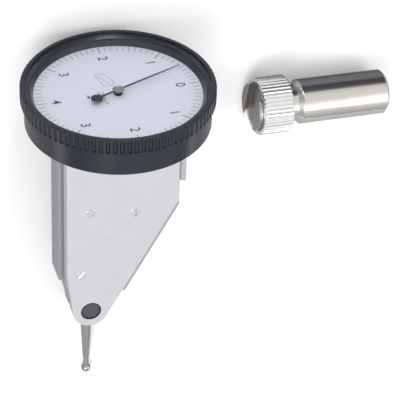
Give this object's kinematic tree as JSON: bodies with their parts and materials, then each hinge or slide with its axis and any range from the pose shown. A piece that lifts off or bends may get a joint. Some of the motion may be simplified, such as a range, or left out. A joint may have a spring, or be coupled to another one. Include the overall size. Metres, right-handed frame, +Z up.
{
  "type": "dial test indicator with clamp stem",
  "caption": "Lever-type dial test indicator with swivelling ball stylus, turning bezel, dovetail rails and geared pointer, beside its separate dovetail clamp stem.",
  "frame": {"origin": "centre of the bounding box in X and Y, on the table, at z = 0", "axes": "+Z is up from the table the parts lie on, +Y runs from the stylus towards the dial, +X runs from the indicator towards the clamp stem"},
  "size_m": [0.0821, 0.0774, 0.04],
  "materials": {
    "body_satin": "satin plated",
    "cover_satin": "satin plated",
    "screw_steel": "polished",
    "bush_black": "black oxide",
    "cap_grey": "dark grey, matt",
    "case_aluminium": "machined",
    "spring_steel": "blued",
    "brass": "machined",
    "jewel": "polished ruby",
    "lacquer": "hard lacquer",
    "bezel_black": "black anodised, satin",
    "crystal": "clear",
    "gasket": "matt",
    "dial_ring": "dark, satin",
    "dial_face": "pale blue-grey, matt, printed in black",
    "pointer_dark": "black",
    "hub_steel": "turned",
    "lever_aluminium": "machined",
    "stylus_steel": "turned",
    "ball": "polished hard metal",
    "stem_steel": "turned and polished",
    "ring_steel": "bright, knurled"
  },
  "bodies": {
    "body": {"body_frame": "body_satin", "front_cover": "cover_satin", "back_cover": "cover_satin", "front_cover_screws": "screw_steel", "back_cover_screws": "screw_steel", "front_pivot_bush": "bush_black", "back_pivot_bush": "bush_black", "front_pivot_cap": "cap_grey", "back_pivot_cap": "cap_grey", "dial_case": "case_aluminium", "case_screws": "screw_steel", "bezel_spring_ring": "spring_steel", "upper_bridge": "brass", "lower_bridge": "brass", "front_bridge": "brass", "back_bridge": "brass", "bridge_screws": "screw_steel", "upper_jewel": "jewel", "lower_jewel": "jewel", "front_jewel": "jewel", "back_jewel": "jewel", "stop_pins": "screw_steel", "lever_spring": "spring_steel", "hairspring": "spring_steel", "hairspring_stud": "brass", "adjusting_screw": "screw_steel", "lacquer_seal": "lacquer"},
    "bezel": {"bezel": "bezel_black", "crystal": "crystal", "crystal_gasket": "gasket", "dial_ring": "dial_ring", "dial_plate": "dial_face", "dial_retainer": "case_aluminium"},
    "pointer": {"centre_pinion": "hub_steel", "hairspring_collet": "brass", "pointer_hub": "hub_steel", "pointer": "pointer_dark"},
    "crown": {"crown_arbor": "hub_steel", "crown_gear": "brass"},
    "lever": {"lever_arm": "lever_aluminium", "pivot_shaft": "screw_steel", "clutch_washer": "brass", "wave_washer": "spring_steel", "clutch_collar": "screw_steel"},
    "stylus": {"stylus_boss": "stylus_steel", "stylus_shank": "stylus_steel", "stylus_ball": "ball"},
    "stem": {"stem_shank": "stem_steel"},
    "clamp_jaw": {"clamp_jaw": "stem_steel"},
    "clamp_ring": {"clamp_ring": "ring_steel"}
  },
  "joints": [
    {"name": "bezel_turn", "type": "hinge", "parent": "body", "child": "bezel", "pos_m": [-0.02098, 0.03327, 0.02083], "axis": [0, 0.962, 0.2732], "continuous": true},
    {"name": "pointer_spin", "type": "hinge", "parent": "body", "child": "pointer", "pos_m": [-0.02098, 0.03327, 0.02083], "axis": [0, 0.962, 0.2732], "range_deg": [-360, 360]},
    {"name": "crown_turn", "type": "hinge", "parent": "body", "child": "crown", "pos_m": [-0.02098, 0.01192, 0.01581], "axis": [0, 0.2732, -0.962], "range_deg": [-33, 33]},
    {"name": "lever_swing", "type": "hinge", "parent": "body", "child": "lever", "pos_m": [-0.02783, -0.01901, 0.00598], "axis": [0, 0.2732, -0.962], "range_deg": [-0.6, 0.6], "stiffness_Nm_per_rad": 0.3},
    {"name": "stylus_swivel", "type": "hinge", "parent": "lever", "child": "stylus", "pos_m": [-0.02783, -0.01901, 0.00598], "axis": [0, 0.2732, -0.962], "range_deg": [-105, 105]},
    {"name": "stem_lift", "type": "slide", "parent": "body", "child": "stem", "axis": [0, 0, 1], "range_m": [0, 0.06]},
    {"name": "clamp_ring_turn", "type": "hinge", "parent": "stem", "child": "clamp_ring", "pos_m": [0.01451, 0.01859, 0.00637], "axis": [0.9969, -0.0453, -0.0636], "range_deg": [0, 360]},
    {"name": "clamp_jaw_slide", "type": "slide", "parent": "stem", "child": "clamp_jaw", "axis": [-0.9969, 0.0453, 0.0636], "range_m": [0, 0.0005]}
  ],
  "couplings": [
    {"joint": "pointer_spin", "follows": "lever_swing", "ratio": -596.75},
    {"joint": "crown_turn", "follows": "lever_swing", "ratio": -54.25},
    {"joint": "clamp_ring_turn", "follows": "clamp_jaw_slide", "rad_per_m": 12566}
  ]
}
